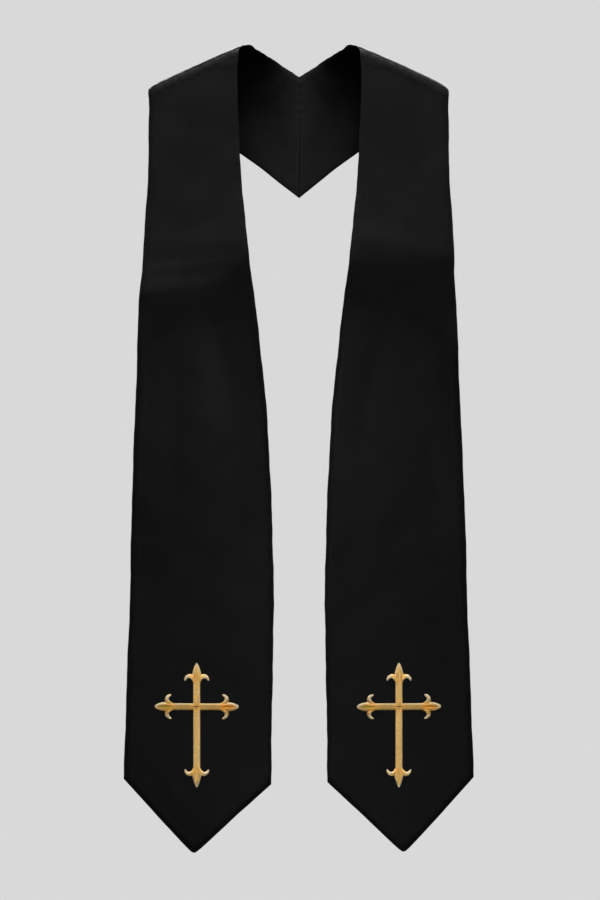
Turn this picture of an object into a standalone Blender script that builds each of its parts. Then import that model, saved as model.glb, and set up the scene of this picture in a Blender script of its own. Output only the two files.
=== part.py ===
"""Choir stole, worn: two satin strips joined by a mitred seam at the centre back.

Each strip runs from the seam, round the neck and over the shoulder, down the chest to a
pointed hem, and carries one embroidered cross. A strip is a face and a lining of the same
cloth, sewn edge to edge. The front is towards -Y, the wearer's left is +X, and the origin
is where the neck edges cross the top of the shoulders, on the plane of symmetry.
"""

import math

import bpy
from mathutils import Vector
from mathutils.geometry import delaunay_2d_cdt

MM = 0.001

# Cloth layers, mm, measured out from the wearer's side of the strip.
LINING_THICKNESS = 1.0
LAYER_GAP = 0.3
FACE_THICKNESS = 1.2
LINING_INSET = 0.6
SEAM_GAP = 0.3
SEAM_X = SEAM_GAP / 2

# Elevation of the pointed hem, mm: heights below the shoulder point.
NECK_CORNER_HEIGHT = -781.0
ARM_CORNER_HEIGHT = -776.0
TIP_HEIGHT = -855.5
TIP_ACROSS = 0.516
CHEVRON_START_HEIGHT = -630.0
CHEVRON_SECTIONS = 8

# Where the columns of points lie across the strip, from the neck edge to the arm edge.
COLUMNS = (0.0, 0.05, 0.18, 0.35, TIP_ACROSS, 0.69, 0.84, 0.95, 1.0)

# The arm edge droops over the end of the shoulder, across the last part of the width.
DROOP_FROM = 0.80

# Sections of one strip, from the centre back to below the hem's tip, mm. Each row has the
# neck edge's point and the arm edge's point, how far the cloth bows out between the two,
# how far the arm edge droops, and the number of sections from this row to the next.
STATION_FIELDS = (
    "neck_x", "neck_y", "neck_z", "arm_x", "arm_y", "arm_z", "bow", "droop", "sections",
)
STATIONS = (
    # centre back seam, and round the back of the neck
    (SEAM_X, 62.0, -25.8, SEAM_X, 92.0, -155.2, 0.0, 0.0, 3),
    (16.5, 54.0, -16.8, 44.0, 88.5, -122.2, 2.5, 0.0, 3),
    (31.0, 39.0, -9.4, 86.0, 75.0, -92.5, 4.0, 0.0, 3),
    (44.0, 19.0, -3.4, 125.0, 46.0, -67.5, 4.0, 0.7, 3),
    # the ridge of the shoulder, rounded over to the front
    (54.0, 2.5, -0.2, 156.5, 5.0, -44.8, 1.5, 1.4, 2),
    (57.6, -9.0, -2.0, 159.2, -7.5, -47.3, 1.0, 2.2, 2),
    (60.0, -18.5, -12.0, 159.6, -16.5, -58.5, 0.8, 2.0, 2),
    # collarbone and upper chest, leaning forward
    (61.6, -33.0, -44.0, 158.8, -28.0, -87.0, 1.0, 1.0, 3),
    (62.7, -62.5, -118.0, 158.9, -50.0, -143.0, 2.0, 0.0, 3),
    (57.6, -84.0, -186.0, 161.4, -69.0, -202.0, 3.0, 0.0, 2),
    (51.4, -94.0, -240.0, 163.4, -80.5, -250.0, 3.5, 0.0, 2),
    # hanging straight below the chest
    (43.2, -97.0, -305.0, 165.9, -85.5, -309.0, 3.2, 0.0, 3),
    (35.2, -97.0, -381.0, 168.6, -87.0, -381.0, 2.8, 0.0, 3),
    (29.4, -96.0, -485.0, 172.9, -87.0, -485.0, 2.4, 0.0, 3),
    (26.9, -95.0, -590.0, 175.9, -86.5, -590.0, 2.2, 0.0, 1),
    (28.6, -94.5, -694.0, 179.8, -86.0, -694.0, 2.0, 0.0, 1),
    (29.6, -94.0, -777.0, 182.5, -86.0, -777.0, 1.8, 0.0, 1),
    (30.0, -94.0, -862.0, 184.2, -86.0, -862.0, 1.6, 0.0, 1),
)

# From this row on, both edges of a section lie at one height.
LEVEL_FROM_ROW = 12

# The embroidered cross, mm: its centre on the panel, arms, widths and heights off the face.
CROSS_X = 105.4
CROSS_HEIGHT = -700.5
UPPER_ARM = 46.4
LOWER_ARM = 85.3
SIDE_ARM = 44.3
UPRIGHT_HALF_WIDTH = 3.75
BAR_HALF_WIDTH = 3.4
CROSS_GAP = 0.3
CROSS_EDGE_THICKNESS = 0.7
CROSS_THICKNESS = 1.5
CROSS_BEVEL = 0.6

# Half of the flowered end of an arm, mm: distance to the side of the arm's axis, and distance
# back from the arm's tip. Each stretch is a smooth curve; stretches meet at a sharp corner.
SPEAR_EDGE = ((0.0, 0.0), (1.5, 2.0), (3.0, 6.0), (4.3, 10.0), (4.9, 11.9))
HOOK_OUTER_EDGE = ((4.9, 11.9), (8.6, 11.8), (11.7, 13.6), (13.1, 16.9), (12.9, 19.6))
HOOK_INNER_EDGE = ((12.9, 19.6), (10.6, 17.9), (8.2, 16.7), (6.0, 17.9), (4.6, 20.6))
END_LENGTH = 24.5
CURVE_STEPS = 2
STRAIGHT_STEP = 9.0

# Colours, linear, with roughness and metallic value.
SATIN = ((0.0075, 0.0075, 0.0080, 1.0), 0.42, 0.0)
LINING_SATIN = ((0.0085, 0.0085, 0.0090, 1.0), 0.50, 0.0)
GOLD_THREAD = ((0.60, 0.36, 0.10, 1.0), 0.45, 0.25)


def clear_scene():
    for old in list(bpy.data.objects):
        bpy.data.objects.remove(old, do_unlink=True)


def make_material(name, finish):
    colour, roughness, metallic = finish
    material = bpy.data.materials.new(name)
    material.use_nodes = True
    shader = material.node_tree.nodes["Principled BSDF"]
    shader.inputs["Base Color"].default_value = colour
    shader.inputs["Roughness"].default_value = roughness
    shader.inputs["Metallic"].default_value = metallic
    return material


def hermite(knots, values, slopes, along):
    """The smooth curve through the values at a distance along the knots."""
    last = len(knots) - 2
    span = next((i for i in range(last) if along < knots[i + 1]), last)
    width = knots[span + 1] - knots[span]
    s = (along - knots[span]) / width
    start = (1 + 2 * s) * (1 - s) ** 2 * values[span]
    end = s * s * (3 - 2 * s) * values[span + 1]
    start_slope = s * (1 - s) ** 2 * width * slopes[span]
    end_slope = s * s * (s - 1) * width * slopes[span + 1]
    return start + end + start_slope + end_slope


def curve_slopes(knots, values):
    """The slope at each knot of the parabola through it and its two neighbours."""
    chords = [
        (values[i + 1] - values[i]) / (knots[i + 1] - knots[i]) for i in range(len(knots) - 1)
    ]
    slopes = [chords[0]]
    for i in range(1, len(chords)):
        before = knots[i] - knots[i - 1]
        after = knots[i + 1] - knots[i]
        slopes.append((chords[i - 1] * after + chords[i] * before) / (before + after))
    slopes.append(chords[-1])
    return slopes


class Strip:
    """The wearer's side of one strip, as points at a distance along it and a share across it."""

    def __init__(self):
        self.fields = {name: [row[i] for row in STATIONS] for i, name in enumerate(STATION_FIELDS)}
        self.knots = [0.0]
        middles = [
            Vector([(row[i] + row[i + 3]) / 2 for i in range(3)]) for row in STATIONS
        ]
        for before, after in zip(middles, middles[1:]):
            self.knots.append(self.knots[-1] + (after - before).length)
        self.slopes = {
            name: curve_slopes(self.knots, self.fields[name]) for name in STATION_FIELDS[:-1]
        }

    def value(self, name, along):
        return hermite(self.knots, self.fields[name], self.slopes[name], along)

    def chord_point(self, along, across):
        neck = Vector([self.value("neck_" + axis, along) for axis in "xyz"])
        arm = Vector([self.value("arm_" + axis, along) for axis in "xyz"])
        return neck.lerp(arm, across)

    def chord_normal(self, along):
        step = 1.0
        before = self.chord_point(max(along - step, 0.0), 0.5)
        after = self.chord_point(along + step, 0.5)
        across = self.chord_point(along, 1.0) - self.chord_point(along, 0.0)
        return (after - before).cross(across).normalized()

    def point(self, along, across):
        bow = self.value("bow", along) * 4 * across * (1 - across)
        past = max(0.0, (across - DROOP_FROM) / (1 - DROOP_FROM))
        droop = self.value("droop", along) * past * past
        place = self.chord_point(along, across) + bow * self.chord_normal(along)
        place.z -= droop
        return place

    def normal(self, along, across):
        step_along = 0.5
        step_across = 0.004
        first = max(along - step_along, 0.0)
        left = max(across - step_across, 0.0)
        right = min(across + step_across, 1.0)
        lengthways = self.point(along + step_along, across) - self.point(first, across)
        crossways = self.point(along, right) - self.point(along, left)
        out = lengthways.cross(crossways)
        if along == 0.0:
            out.x = 0.0
        return out.normalized()

    def along_at_height(self, height):
        """The distance along the strip of a height in the part with level sections."""
        low = self.knots[LEVEL_FROM_ROW]
        high = self.knots[-1]
        for _ in range(40):
            middle = (low + high) / 2
            if self.value("neck_z", middle) > height:
                low = middle
            else:
                high = middle
        return low

    def across_at(self, along, x):
        neck = self.value("neck_x", along)
        arm = self.value("arm_x", along)
        return (x - neck) / (arm - neck)


STRIP = Strip()


def hem_height(across):
    """The height of the pointed hem, from the neck corner to the tip and the arm corner."""
    if across < TIP_ACROSS:
        share = across / TIP_ACROSS
        return NECK_CORNER_HEIGHT + share * (TIP_HEIGHT - NECK_CORNER_HEIGHT)
    share = (across - TIP_ACROSS) / (1 - TIP_ACROSS)
    return TIP_HEIGHT + share * (ARM_CORNER_HEIGHT - TIP_HEIGHT)


def section_places(inset):
    """Rows of (along, across) pairs for one layer, kept the inset inside its raw edges."""
    chevron_start = STRIP.along_at_height(CHEVRON_START_HEIGHT)
    alongs = []
    for knot, after, count in zip(STRIP.knots, STRIP.knots[1:], STRIP.fields["sections"]):
        steps = [knot + (after - knot) * i / count for i in range(count)]
        alongs.extend(step for step in steps if step < chevron_start - 20.0)
    rows = [[(along, across) for across in COLUMNS] for along in alongs]
    for i in range(CHEVRON_SECTIONS + 1):
        share = i / CHEVRON_SECTIONS
        row = []
        for across in COLUMNS:
            end = hem_height(across) + inset
            height = CHEVRON_START_HEIGHT + share * (end - CHEVRON_START_HEIGHT)
            row.append((STRIP.along_at_height(height), across))
        rows.append(row)
    return [[(along, inset_across(along, across, inset)) for along, across in row] for row in rows]


def inset_across(along, across, inset):
    width = (STRIP.chord_point(along, 1.0) - STRIP.chord_point(along, 0.0)).length
    share = inset / width
    return share + across * (1 - 2 * share)


def mesh_object(name, points, triangles, side, material):
    """One solid in metres; side is 1 for the wearer's left and -1 for its mirror image."""
    placed = [(side * p.x * MM, p.y * MM, p.z * MM) for p in points]
    if side < 0:
        triangles = [tuple(reversed(corners)) for corners in triangles]
    mesh = bpy.data.meshes.new(name)
    mesh.from_pydata(placed, [], triangles)
    mesh.materials.append(material)
    mesh.shade_smooth()
    mesh.set_sharp_from_angle(angle=math.radians(40))
    thing = bpy.data.objects.new(name, mesh)
    bpy.context.scene.collection.objects.link(thing)
    return thing


def build_layer(name, low, high, inset, side, material):
    """A closed wall between two distances from the wearer's side of the strip."""
    rows = section_places(inset)
    across_count = len(COLUMNS)
    points = []
    for offset in (low, high):
        for row in rows:
            for along, across in row:
                out = STRIP.normal(along, across)
                points.append(STRIP.point(along, across) + offset * out)

    def index(layer, row, column):
        return (layer * len(rows) + row) * across_count + column

    triangles = []

    def add_quad(a, b, c, d):
        triangles.append((a, b, c))
        triangles.append((a, c, d))

    for i in range(len(rows) - 1):
        for j in range(across_count - 1):
            corners = ((i, j), (i + 1, j), (i + 1, j + 1), (i, j + 1))
            upper = [index(1, *corner) for corner in corners]
            lower = [index(0, *corner) for corner in corners]
            triangles.append((upper[0], upper[1], upper[2]))
            triangles.append((upper[0], upper[2], upper[3]))
            triangles.append((lower[2], lower[1], lower[0]))
            triangles.append((lower[3], lower[2], lower[0]))
    rim = [(0, j) for j in range(across_count)]
    rim += [(i, across_count - 1) for i in range(1, len(rows))]
    rim += [(len(rows) - 1, j) for j in range(across_count - 2, -1, -1)]
    rim += [(i, 0) for i in range(len(rows) - 2, 0, -1)]
    for here, there in zip(rim, rim[1:] + rim[:1]):
        add_quad(index(0, *there), index(0, *here), index(1, *here), index(1, *there))
    return mesh_object(name, points, triangles, side, material)


def smooth_curve(corners):
    """Points along a smooth curve through the corners, without the last one."""
    knots = [0.0]
    for before, after in zip(corners, corners[1:]):
        knots.append(knots[-1] + math.dist(before, after))
    columns = list(zip(*corners))
    slopes = [curve_slopes(knots, column) for column in columns]
    curve = []
    for i in range(len(corners) - 1):
        for step in range(CURVE_STEPS):
            along = knots[i] + (knots[i + 1] - knots[i]) * step / CURVE_STEPS
            curve.append([hermite(knots, columns[k], slopes[k], along) for k in range(2)])
    return curve


def arm_end(half_width):
    """The outline of an arm's flowered end, from one side of the arm to the other."""
    half = smooth_curve(SPEAR_EDGE) + smooth_curve(HOOK_OUTER_EDGE)
    half += smooth_curve(HOOK_INNER_EDGE + ((half_width, END_LENGTH),))
    half.append([half_width, END_LENGTH])
    other_half = [[-side, back] for side, back in reversed(half[1:])]
    return other_half + half


def cross_outline():
    """The cross's outline in the panel's plane, turning clockwise from the upper arm."""
    arms = (
        ((0.0, 1.0), UPPER_ARM, UPRIGHT_HALF_WIDTH),
        ((1.0, 0.0), SIDE_ARM, BAR_HALF_WIDTH),
        ((0.0, -1.0), LOWER_ARM, UPRIGHT_HALF_WIDTH),
        ((-1.0, 0.0), SIDE_ARM, BAR_HALF_WIDTH),
    )
    outline = []
    for i, ((ahead_x, ahead_y), length, half_width) in enumerate(arms):
        for side, back in arm_end(half_width):
            reach = length - back
            outline.append((ahead_x * reach + ahead_y * side, ahead_y * reach - ahead_x * side))
        next_x, next_y = arms[(i + 1) % 4][0]
        next_half_width = arms[(i + 1) % 4][2]
        next_length = arms[(i + 1) % 4][1]
        corner_x = ahead_x * next_half_width + next_x * half_width
        corner_y = ahead_y * next_half_width + next_y * half_width
        run = length - END_LENGTH - next_half_width
        for step in straight_steps(run):
            outline.append((corner_x + ahead_x * (run - step), corner_y + ahead_y * (run - step)))
        outline.append((corner_x, corner_y))
        for step in straight_steps(next_length - END_LENGTH - half_width):
            outline.append((corner_x + next_x * step, corner_y + next_y * step))
    return outline


def straight_steps(run):
    """Distances of the points that divide a straight side, without its two ends."""
    count = math.ceil(run / STRAIGHT_STEP)
    return [run * i / count for i in range(1, count)]


def inset_outline(outline, distance):
    """The outline moved inwards, square to the line between each point's neighbours."""
    moved = []
    count = len(outline)
    for i, (x, y) in enumerate(outline):
        before = outline[i - 1]
        after = outline[(i + 1) % count]
        along = Vector((after[0] - before[0], after[1] - before[1])).normalized()
        moved.append((x + along.y * distance, y - along.x * distance))
    return moved


def fill_outline(outline):
    """Short triangles inside the outline, turning anticlockwise seen from the front."""
    flat = [Vector(point) for point in outline]
    inside = 1
    filled = delaunay_2d_cdt(flat, [], [list(range(len(flat)))], inside, 1e-6)[2]
    triangles = []
    for a, b, c in filled:
        turn = (flat[b] - flat[a]).cross(flat[c] - flat[a])
        triangles.append((a, b, c) if turn > 0 else (c, b, a))
    return triangles


def on_panel(x, y, offset):
    """A point of the cross's plane, laid on the panel and moved out from its wearer's side."""
    along = STRIP.along_at_height(CROSS_HEIGHT + y)
    across = STRIP.across_at(along, CROSS_X + x)
    return STRIP.point(along, across) + offset * STRIP.normal(along, across)


def build_cross(name, side, material):
    """The raised embroidery: a flat back, upright edges and a bevelled top."""
    outline = cross_outline()
    crown = inset_outline(outline, CROSS_BEVEL)
    face = LINING_THICKNESS + LAYER_GAP + FACE_THICKNESS
    rings = (
        (outline, face + CROSS_GAP),
        (outline, face + CROSS_GAP + CROSS_EDGE_THICKNESS),
        (crown, face + CROSS_GAP + CROSS_THICKNESS),
    )
    count = len(outline)
    points = [on_panel(x, y, offset) for ring, offset in rings for x, y in ring]
    triangles = []
    for i in range(2):
        for j in range(count):
            k = (j + 1) % count
            near, far = i * count + j, i * count + k
            triangles.append((far, near, near + count))
            triangles.append((far, near + count, far + count))
    for corners in fill_outline(outline):
        triangles.append(tuple(reversed(corners)))
        triangles.append(tuple(corner + 2 * count for corner in corners))
    return mesh_object(name, points, triangles, side, material)


def build_stole():
    face_low = LINING_THICKNESS + LAYER_GAP
    face_high = face_low + FACE_THICKNESS
    for end, side in (("left", 1), ("right", -1)):
        satin = make_material("face_satin_" + end, SATIN)
        lining = make_material("lining_satin_" + end, LINING_SATIN)
        gold = make_material("gold_thread_" + end, GOLD_THREAD)
        build_layer("face_" + end, face_low, face_high, 0.0, side, satin)
        build_layer("lining_" + end, 0.0, LINING_THICKNESS, LINING_INSET, side, lining)
        build_cross("cross_" + end, side, gold)


clear_scene()
build_stole()
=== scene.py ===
"""Looks of the choir stole: sewn black satin bands and raised gold crosses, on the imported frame."""

import math

import bpy
import numpy as np
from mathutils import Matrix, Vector


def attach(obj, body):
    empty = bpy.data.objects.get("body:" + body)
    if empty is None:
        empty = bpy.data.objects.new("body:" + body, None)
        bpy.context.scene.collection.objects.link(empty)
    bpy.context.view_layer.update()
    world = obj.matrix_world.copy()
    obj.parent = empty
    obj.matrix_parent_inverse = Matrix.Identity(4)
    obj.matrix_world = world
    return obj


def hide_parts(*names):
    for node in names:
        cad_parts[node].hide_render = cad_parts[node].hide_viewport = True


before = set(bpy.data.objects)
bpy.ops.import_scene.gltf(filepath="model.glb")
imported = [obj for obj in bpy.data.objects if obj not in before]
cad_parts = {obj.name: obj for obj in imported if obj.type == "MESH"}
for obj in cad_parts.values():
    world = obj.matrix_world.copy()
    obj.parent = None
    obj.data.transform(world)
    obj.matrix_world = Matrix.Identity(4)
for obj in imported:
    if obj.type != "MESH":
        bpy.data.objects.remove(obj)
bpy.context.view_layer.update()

MM = 0.001

# The photograph's camera, in m and pixels, its sensor in mm: level, looking along +Y. A pixel
# has this size at the front of the cloth, and the plane of symmetry is at this pixel column.
IMAGE_WIDTH = 600
IMAGE_HEIGHT = 900
PIXEL_SIZE = 0.001045
CAMERA_DISTANCE = 3.5
FRONT_OF_CLOTH = -0.095
CAMERA_HEIGHT = -0.43285
AXIS_PIXEL = 299.0
SENSOR_WIDTH = 36.0

# Sections of one strip, from the centre back to below the hem's tip, mm: a point of the neck
# edge and one of the arm edge, how far the cloth bows out between them, and how far the arm
# edge droops. They refine the part's sections, mostly at the neck, shoulder and chest.
SEAM_X = -0.15
STATION_FIELDS = (
    "neck_x", "neck_y", "neck_z", "arm_x", "arm_y", "arm_z", "bow", "droop",
)
STATIONS = (
    # centre back seam, and round the back of the neck
    (SEAM_X, 62.0, -25.8, SEAM_X, 92.0, -156.0, 0.0, 0.0),
    (16.5, 57.5, -16.0, 44.0, 90.5, -121.0, 2.0, 0.0),
    (31.0, 45.5, -7.8, 86.0, 80.0, -92.0, 1.2, 0.0),
    (45.0, 23.5, -1.7, 125.0, 50.0, -66.6, 1.2, 0.5),
    # the ridge of the shoulder, rounded over to the front
    (56.6, 2.0, 0.9, 157.2, 3.5, -43.2, 1.2, 0.9),
    (60.8, -5.5, -1.2, 159.4, -4.0, -45.4, 1.0, 1.3),
    (63.6, -12.5, -5.1, 159.9, -10.6, -49.3, 0.8, 1.3),
    (64.8, -16.0, -8.6, 159.8, -13.6, -53.0, 0.8, 1.3),
    # collarbone and upper chest, leaning forward
    (65.2, -17.6, -13.2, 159.4, -15.2, -58.0, 0.8, 1.2),
    (65.8, -28.2, -44.0, 158.8, -25.8, -87.0, 0.8, 0.8),
    (62.9, -52.6, -118.0, 158.9, -47.2, -143.0, 1.2, 0.0),
    (57.6, -77.4, -186.0, 161.4, -69.2, -202.0, 1.8, 0.0),
    (53.0, -93.0, -226.0, 162.9, -83.2, -239.0, 2.2, 0.0),
    (52.2, -95.0, -233.0, 163.1, -85.0, -244.0, 2.2, 0.0),
    # hanging straight below the chest
    (50.1, -96.5, -250.0, 163.7, -87.2, -258.0, 2.2, 0.0),
    (43.2, -101.2, -305.0, 165.9, -93.6, -309.0, 1.8, 0.0),
    (35.2, -101.4, -381.0, 168.6, -93.8, -381.0, 1.6, 0.0),
    (29.4, -99.0, -485.0, 172.9, -90.6, -485.0, 2.0, 0.0),
    (26.9, -96.5, -590.0, 175.9, -88.1, -590.0, 2.0, 0.0),
    (28.6, -94.5, -694.0, 179.8, -86.0, -694.0, 2.0, 0.0),
    (29.6, -94.0, -777.0, 182.5, -86.0, -777.0, 1.8, 0.0),
    (30.0, -94.0, -862.0, 184.2, -86.0, -862.0, 1.6, 0.0),
)

# The row from which both points of a section are level, and the share across the strip from
# which its arm edge droops.
LEVEL_FROM_ROW = 16
DROOP_FROM = 0.80

# The pointed hem, mm: heights of its corners and its tip, and the tip's share across, a little
# different on the wearer's two sides. The tip is turned over a small radius.
HEM_FIELDS = ("neck_corner", "arm_corner", "tip", "tip_across")
LEFT_HEM = (-779.6, -775.6, -855.5, 0.515)
RIGHT_HEM = (-781.8, -777.6, -856.8, 0.519)
TIP_RADIUS = 2.3
HEM_WIDTH = 153.0
HEM_COSINE = 0.70
CHEVRON_START_HEIGHT = -630.0

# Grid of the cloth: mm between its rows, rows down to the hem, and columns between the edges.
# The rows follow the slanted seam over its first stretch, mm. Rows and columns depend on one
# another, so they are laid out in a few passes.
ROW_STEP = 2.2
HEM_ROWS = 60
MIDDLE_COLUMNS = 42
SEAM_BLEND = 60.0
GRID_PASSES = 3

# Small steps with which the strip's directions are measured, mm along it and share across it.
SEAM_STEP = 2.0
CHORD_STEP = 1.0
NORMAL_STEP = 0.5
SHARE_STEP = 0.004
LEVEL_SAMPLES = 400

# How near the seam the cloth's normal turns into the plane of symmetry, mm.
SEAM_SQUARING = 6.0

# The face's cloth is turned round each edge and ends under the lining, mm off the wearer's side.
FACE_CLOTH = 0.35
TURN_RADIUS = 0.50
TURN_HEIGHT = 1.40
TURN_ANGLES = (-90.0, -54.0, -18.0, 18.0, 54.0, 90.0)
TAIL_INSETS = (2.2, 1.2)
RISE_INSETS = (0.9, 1.5, 2.3, 3.3, 5.0, 9.0)
RISE_WIDTH = 4.2
FULL_HEIGHT = 2.5

# The lining lies a little inside the turned edge, mm.
LINING_CLOTH = 0.27
LINING_INSETS = (0.66, 0.72, 0.90, 1.5, 2.6, 4.2, 6.2, 9.0)
LINING_SEAM_SHIFT = 0.64
LINING_HEIGHTS = (0.86, 0.82, 0.73, 0.54, 0.34, 0.19, 0.08, 0.0)

# Slow unevenness of the cloth, mm and degrees: each wave's height, length, direction off the
# strip's length, start, and how far it is shifted on the wearer's right.
UNDULATION = (
    (0.45, 310, 12, 0.4, 1.9),
    (0.30, 190, -24, 2.1, 0.8),
    (0.18, 120, 58, 1.3, 2.6),
    (0.12, 83, -67, 4.0, 1.1),
    (0.08, 52, 31, 5.2, 3.3),
    (0.05, 37, -42, 0.9, 2.2),
)

# How much calmer these waves are over the chest, as a share, and the distances from the seam
# between which that sets in and fades, mm.
CHEST_CALM = 0.45
CALM_SETS_IN = (160.0, 200.0)
CALM_FADES = (400.0, 480.0)

# How far from the seam the waves and creases take to reach their full height, mm.
SEAM_FLATNESS = 26.0

# Soft creases, listed one by one, mm and degrees: distance from the seam, distance from the neck
# edge, direction off the strip's length, half length, half width, bend, and height (a trough
# is negative).
CREASE_FIELDS = ("along", "out", "angle", "reach", "width", "bend", "height")
LEFT_CREASES = (
    # back of the neck and shoulder
    (48, 30, 62, 34, 7.0, 0.004, -0.55),
    (74, 22, 40, 42, 6.0, -0.005, 0.50),
    (96, 78, 20, 40, 9.0, 0.003, -0.45),
    (128, 40, 28, 36, 8.0, 0.004, -0.40),
    (152, 6, 90, 12, 12.0, 0.0, -0.50),
    (171, 14, 97, 20, 3.2, 0.0, 0.34),
    (184, 20, 108, 16, 3.6, 0.004, 0.30),
    (170, 66, 84, 18, 3.4, 0.0, 0.26),
    (177, 92, 93, 12, 3.2, 0.0, -0.22),
    # chest
    (236, 22, 14, 46, 9.0, 0.002, 0.24),
    (268, 74, -38, 38, 9.0, 0.004, -0.14),
    (318, 40, 58, 34, 8.0, 0.003, -0.10),
    (352, 88, 74, 40, 9.0, -0.002, 0.12),
    (402, 30, 80, 44, 12.0, 0.002, -0.20),
    # hanging length
    (472, 96, 8, 70, 12.0, 0.001, 0.55),
    (540, 34, -6, 90, 13.0, 0.001, -0.60),
    (624, 112, 11, 64, 10.0, -0.002, -0.42),
    (660, 62, -14, 58, 14.0, 0.001, 0.45),
    (735, 26, 7, 60, 11.0, 0.002, -0.40),
    (905, 122, 34, 36, 9.0, 0.003, -0.45),
    (925, 48, -30, 34, 8.0, 0.003, 0.35),
)
RIGHT_CREASES = (
    (42, 24, 55, 30, 6.0, -0.004, -0.50),
    (66, 66, 30, 46, 8.0, 0.004, 0.45),
    (104, 36, 36, 38, 7.0, 0.004, -0.50),
    (139, 82, 18, 34, 9.0, -0.003, -0.35),
    (152, 24, 90, 44, 16.0, 0.0, -0.75),
    (172, 12, 101, 16, 3.2, 0.0, 0.32),
    (186, 16, 112, 18, 3.8, 0.004, 0.32),
    (171, 50, 95, 14, 3.4, 0.0, -0.24),
    (172, 80, 86, 20, 3.6, 0.0, 0.28),
    (228, 66, -30, 44, 9.0, 0.003, -0.16),
    (262, 20, 20, 40, 8.0, 0.003, 0.20),
    (426, 68, 78, 52, 13.0, 0.001, -0.16),
    (498, 38, -9, 80, 12.0, 0.001, 0.50),
    (566, 98, 6, 84, 13.0, -0.001, -0.60),
    (612, 44, 15, 52, 10.0, 0.002, -0.40),
    (694, 116, -10, 62, 12.0, 0.001, 0.42),
    (742, 70, 12, 48, 10.0, 0.002, -0.35),
    (912, 40, 38, 34, 8.0, -0.003, -0.42),
    (936, 110, -34, 36, 9.0, 0.003, 0.36),
)

# Where the cloth leaves the chest and hangs straight, mm: the table's own line, as a distance
# from the seam, and each side's creased line, at distances from the neck edge. The steepness
# is that of the chest above the line. The lift that moves the line fades below it.
PLAIN_BREAK = 398.0
BREAK_OUTS = np.array((0.0, 26.0, 52.0, 78.0, 112.0))
LEFT_BREAK = np.array((402.0, 401.0, 395.5, 390.5, 384.0))
RIGHT_BREAK = np.array((398.0, 414.0, 425.0, 428.0, 428.0))
BREAK_STEEPNESS = 0.30
BREAK_FADE = 240.0
PLAIN_BREAK_ROUNDING = 3.5
BREAK_ROUNDING = 2.5

# Fine wrinkles over the front of the shoulder, mm and degrees: the middle of the stretch and
# half its length, then each wave's height, length, direction and start.
SHOULDER_WRINKLES_AT = (172.0, 16.0)
SHOULDER_WRINKLES = ((0.085, 7.6, 52.0, 0.4), (0.075, 9.4, -38.0, 2.3), (0.06, 14.5, 83.0, 1.0))

# Small gathers that the sewing makes, mm: height, wavelength, and how far in they fade.
SEAM_PUCKER = (0.22, 9.5, 9.0)
EDGE_PUCKER = (0.13, 15.0, 6.0)
HEM_PUCKER = (0.11, 8.5, 4.0)

# How uneven the wrinkles and gathers are: how far a wave's phase or height swings, and the
# distance, mm, over which that swing turns by one radian. The arm edge's wave starts later.
WRINKLE_SWAY = (0.8, 11.0)
SEAM_UNEVENNESS = (0.3, 17.0)
EDGE_UNEVENNESS = (0.4, 47.0)
EDGE_SWAY = (1.3, 61.0)
ARM_EDGE_START = 2.0
HEM_SWAY = (1.5, 13.0)

# How far the sewn edges wander in the cloth's plane, mm: height, wavelength and start. That
# fades towards the middle of the strip, and sets in at this distance from the seam.
NECK_WANDER = ((0.24, 96.0, 0.3), (0.15, 41.0, 1.7), (0.08, 19.0, 0.2))
ARM_WANDER = ((0.22, 118.0, 2.2), (0.13, 53.0, 0.6), (0.07, 23.0, 1.4))
WANDER_FADE = 24.0
WANDER_FROM_SEAM = 20.0

# How far the centre-back seam wanders off the middle between its two ends, mm, and how fast
# that fades along the strip.
SEAM_DRIFT = 1.2
SEAM_DRIFT_FADE = 40.0

# How much farther out than the table's points the neck edge and the arm edge lie, mm.
LEFT_GROWTH = (0.0, 0.35)
RIGHT_GROWTH = (0.65, 0.95)

# The embroidered cross, mm: its crossing and its arms. Both crosses are shifted a little to the
# wearer's right. The stitching is stiff, so the cloth's waves are damped round its middle.
CROSS_X = 105.4
CROSS_SHIFT = 1.2
CROSS_HEIGHT = -701.1
CROSS_MIDDLE = -20.0
UPPER_ARM = 46.3
LOWER_ARM = 84.7
SIDE_ARM = 44.1
SPEAR_EDGE = ((0.0, 0.0), (1.5, 2.2), (2.9, 5.8), (4.0, 9.6), (4.45, 11.9))
SIDE_SPEAR_EDGE = ((0.0, 0.0), (1.7, 1.2), (3.2, 4.0), (4.2, 7.4), (4.45, 10.6))
SIDE_HOOK_SHIFT = -1.5
HOOK_OUTER_EDGE = (
    (1.4, 14.0), (4.3, 12.7), (7.9, 12.3), (10.9, 13.7), (12.6, 16.2), (12.9, 18.4),
)
HOOK_INNER_EDGE = (
    (1.9, 23.4), (3.9, 20.0), (5.5, 17.6), (8.0, 16.3), (10.2, 17.2), (12.0, 19.2),
)
SPEAR_NECK = 19.5
EMBROIDERY_DAMPING = 0.7
EMBROIDERY_SPREAD = 70.0

# Satin stitches, mm: pitch between threads, a thread's half width and half thickness, how
# unevenly high threads lie, and the places along a thread, as shares.
STITCH_PITCH = 0.42
THREAD_HALF_WIDTH = 0.24
THREAD_HALF_THICKNESS = 0.15
THREAD_SIDES = 6
THREAD_UNEVENNESS = 0.02
STITCH_SHARES = (0.0, 0.07, 0.2, 0.4, 0.62, 0.82, 0.94, 1.0)
LEFT_SEED = 7
RIGHT_SEED = 8

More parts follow.
